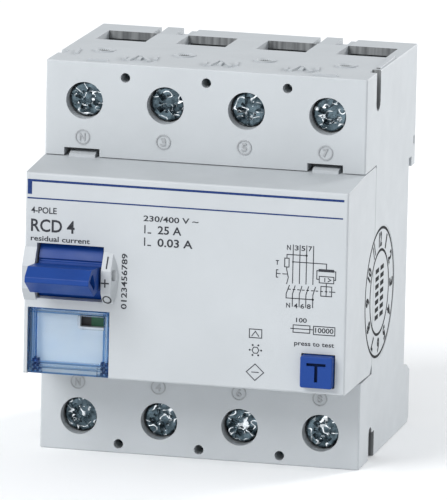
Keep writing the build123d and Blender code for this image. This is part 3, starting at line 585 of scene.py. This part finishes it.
def nose_lines(colour):
    """The two blue rules across the nose and the plain block at their left end."""
    bm = bmesh.new()
    slab(bm, rectangle((-34.9, 34.3), (19.45, 19.95)), on_nose, INK_DEPTH)
    slab(bm, rectangle((-34.9, 34.1), (15.7, 16.0)), on_nose, INK_DEPTH)
    slab(bm, rectangle((-34.85, -33.9), (16.7, 19.45)), on_nose, INK_DEPTH)
    finish_marks("nose_lines", bm, colour)


def rating_text(black):
    """Generic lettering in the places of the rating."""
    bm = bmesh.new()
    lines = [
        ("4-POLE", (-34.0, -28.4), (12.6, 14.0)),
        ("RCD 4", (-34.0, -24.4), (8.6, 11.4)),
        ("residual current", (-34.0, -21.0), (6.6, 7.75)),
        ("230/400 V ~", (-9.35, 2.7), (12.45, 13.7)),
        ("25 A", (-6.2, -1.0), (9.8, 11.6)),
        ("0.03 A", (-6.2, 1.5), (7.1, 8.9)),
        ("100", (24.4, 26.75), (-7.2, -6.2)),
        ("10000", (28.6, 32.6), (-9.2, -8.1)),
        ("press to test", (24.1, 32.8), (-12.5, -11.35)),
    ]
    for text, u, v in lines:
        lettering(bm, text, u, v, on_nose, INK_DEPTH)
    for low, high in ((9.8, 11.6), (7.1, 8.9)):
        ribbon(bm, [(-9.0, low), (-9.0, high)], 0.26, on_nose, INK_DEPTH)
        ribbon(bm, [(-8.4, low + 0.15), (-7.6, low + 0.15)], 0.26, on_nose, INK_DEPTH)
    finish_marks("rating_text", bm, black)


def circuit_diagram(black):
    """Four poles with their switch, test branch, core and relay, as a line drawing."""
    bm = bmesh.new()
    poles = [23.45, 24.93, 26.38, 27.88]

    def line(*points, width=FINE):
        ribbon(bm, points, width, on_nose, INK_DEPTH)

    for x in poles:
        line((x, 1.15), (x, 9.6))
        line((x + 0.6, 0.75), (x + 0.05, -1.1), (x + 0.05, -3.9))
    for text, x in zip("N357", (22.5, 24.2, 25.65, 27.15)):
        lettering(bm, text, (x - 0.42, x + 0.42), (8.35, 9.45), on_nose, INK_DEPTH)
    for text, x in zip("N468", (22.6, 24.25, 25.7, 27.1)):
        lettering(bm, text, (x - 0.42, x + 0.42), (-4.15, -3.1), on_nose, INK_DEPTH)
    line((22.12, 6.55), (22.12, 7.38), (26.38, 7.38))
    slab(bm, circle((26.38, 7.38), 0.24, 16), on_nose, INK_DEPTH)
    ribbon(bm, rectangle((21.65, 22.6), (4.65, 6.55)), FINE, on_nose, INK_DEPTH, closed=True)
    line((22.12, 4.65), (22.12, 4.1), (22.5, 2.4), (22.15, 0.95))
    line((19.7, 5.9), (20.4, 5.9))
    line((20.05, 5.9), (20.05, 5.0))
    line((20.3, 3.9), (19.9, 3.9), (19.9, 2.3), (20.3, 2.3))
    line((19.9, 3.1), (20.8, 3.1))
    line((21.2, 3.1), (22.2, 3.1))
    line((23.45, 5.85), (30.76, 5.85), (30.76, 4.7))
    slab(bm, circle((23.45, 5.85), 0.2, 16), on_nose, INK_DEPTH)
    slab(bm, rectangle((29.05, 32.45), (4.1, 4.7)), on_nose, INK_DEPTH)
    line((29.05, 4.3), (28.7, 4.3), (28.7, 2.45), (29.25, 2.45))
    line((32.45, 4.3), (32.8, 4.3), (32.8, 2.45), (32.4, 2.45))
    ribbon(bm, rectangle((29.25, 32.4), (1.7, 3.1)), FINE, on_nose, INK_DEPTH, closed=True)
    line((30.45, 1.95), (30.45, 2.85))
    line((31.1, 2.8), (31.75, 2.4), (31.1, 2.0))
    line((30.8, 1.7), (30.8, 0.95))
    ribbon(bm, rectangle((29.65, 32.0), (-1.15, 0.95)), FINE, on_nose, INK_DEPTH, closed=True)
    line((30.8, 0.95), (30.8, -1.15))
    for i in range(9):
        line((22.5 + 1.0 * i, -0.13), (23.1 + 1.0 * i, -0.13))
    line((31.4, -0.13), (32.8, -0.13))
    line((22.8, 0.78), (22.12, -1.1), (22.12, -2.06), (27.9, -2.06))
    slab(bm, circle((27.93, -2.06), 0.26, 16), on_nose, INK_DEPTH)
    ribbon(bm, rectangle((23.8, 27.45), (-9.4, -7.8)), FINE, on_nose, INK_DEPTH, closed=True)
    line((23.2, -8.6), (28.25, -8.6))
    ribbon(bm, rectangle((28.25, 32.9), (-9.6, -7.8)), FINE, on_nose, INK_DEPTH, closed=True)
    finish_marks("circuit_diagram", bm, black)


def test_marks(black):
    """Three plain outlines where approval marks would be: box, ring of dots, diamond."""
    bm = bmesh.new()
    ribbon(bm, rectangle((14.3, 17.0), (-11.2, -9.35)), FINE, on_nose, INK_DEPTH, closed=True)
    ribbon(bm, [(14.8, -10.9), (15.6, -9.8), (16.4, -10.9)], FINE, on_nose, INK_DEPTH)
    ribbon(bm, circle((15.7, -13.9), 0.75, 6), FINE, on_nose, INK_DEPTH, closed=True)
    for point in circle((15.7, -13.9), 1.25, 6):
        slab(bm, circle(point, 0.22, 10), on_nose, INK_DEPTH)
    diamond = [(13.8, -18.7), (15.7, -16.9), (17.6, -18.7), (15.7, -20.5)]
    ribbon(bm, diamond, FINE, on_nose, INK_DEPTH, closed=True)
    ribbon(bm, [(14.9, -18.7), (16.5, -18.7)], FINE, on_nose, INK_DEPTH)
    finish_marks("test_marks", bm, black)


def turned_on_nose(u, v, w):
    """Lettering laid along X about a point, stood upright."""
    x, z = -13.0, -1.0
    return on_nose(x - (v - z), z + (u - x), w)


def serial_digits(black):
    """A row of plain digits that reads upwards."""
    bm = bmesh.new()
    lettering(bm, "0123456789", (-19.0, -6.9), (-1.35, -0.05), turned_on_nose, INK_DEPTH)
    finish_marks("serial_digits", bm, black)


def cheek_marks(black):
    """I, + and O for the handle's three positions."""
    bm = bmesh.new()
    slab(bm, rectangle((-16.95, -16.65), (1.9, 4.3)), on_cheek, INK_DEPTH)
    slab(bm, rectangle((-17.85, -16.1), (-1.35, -1.05)), on_cheek, INK_DEPTH)
    slab(bm, rectangle((-17.13, -16.83), (-2.1, -1.35)), on_cheek, INK_DEPTH)
    slab(bm, rectangle((-17.13, -16.83), (-1.05, -0.3)), on_cheek, INK_DEPTH)
    ribbon(bm, circle((-16.75, -5.0), 0.85, 32), 0.3, on_cheek, INK_DEPTH, closed=True)
    finish_marks("cheek_marks", bm, black)


def deck_numbers(plastic):
    """Raised numbers in raised rings beside the clamps, in the case's plastic painted darker as shade."""
    bm = bmesh.new()
    raised = 0.22
    for z, texts in ((26.6, "N357"), (-27.2, "N468")):
        for number, text in enumerate(texts, 1):
            x = pole_x(number) - 0.3
            ribbon(bm, circle((x, z), 1.5, 40), 0.22, on_deck, raised, closed=True)
            lettering(bm, text, (x - 0.6, x + 0.6), (z - 0.85, z + 0.85), on_deck, raised)
    finish_marks("deck_numbers", bm, plastic)


def side_stamp(black):
    """Round date stamp: two rings, the numbers 1 to 12 between them and bars in the middle."""
    bm = bmesh.new()
    centre = (-27.0, -6.6)
    number_ring, half_height = 11.65, 1.65
    ribbon(bm, circle(centre, 14.0, 96), 0.6, on_side, INK_DEPTH, closed=True)
    ribbon(bm, circle(centre, 9.2, 72), 0.6, on_side, INK_DEPTH, closed=True)
    for hour in range(12):
        angle = math.pi / 2 - 2 * math.pi * hour / 12
        text = str(hour or 12)
        at = (centre[0] + number_ring * math.cos(angle), centre[1] + number_ring * math.sin(angle))
        half = sum(0.45 if digit == "1" else 1.0 for digit in text)
        lettering(bm, text, (at[0] - half, at[0] + half), (at[1] - half_height, at[1] + half_height),
                  on_side, INK_DEPTH, angle - math.pi / 2, weight=0.045)
    for row in (-2.4, 2.4):
        for step in range(7):
            z = centre[1] - 5.1 + 1.7 * step
            slab(bm, rectangle((centre[0] + row - 1.6, centre[0] + row + 1.6), (z - 0.5, z + 0.5)),
                 on_side, INK_DEPTH)
    finish_marks("side_stamp", bm, black)


add_camera()
add_studio()
MATERIALS = make_materials()
dress_frame(MATERIALS)
add_live_springs()
BLACK_INK = ink("black_ink", (0.03, 0.032, 0.038))
BLUE_INK = ink("blue_ink", (0.012, 0.030, 0.115))
nose_lines(BLUE_INK)
rating_text(BLACK_INK)
circuit_diagram(BLACK_INK)
test_marks(BLACK_INK)
serial_digits(BLACK_INK)
cheek_marks(BLACK_INK)
# The raised numbers are the case's plastic; their darker grey is painted shade.
deck_numbers(moulded("painted_shade_number_plastic", (0.33, 0.345, 0.36), 0.5))
side_stamp(ink("stamp_ink", (0.008, 0.009, 0.011)))
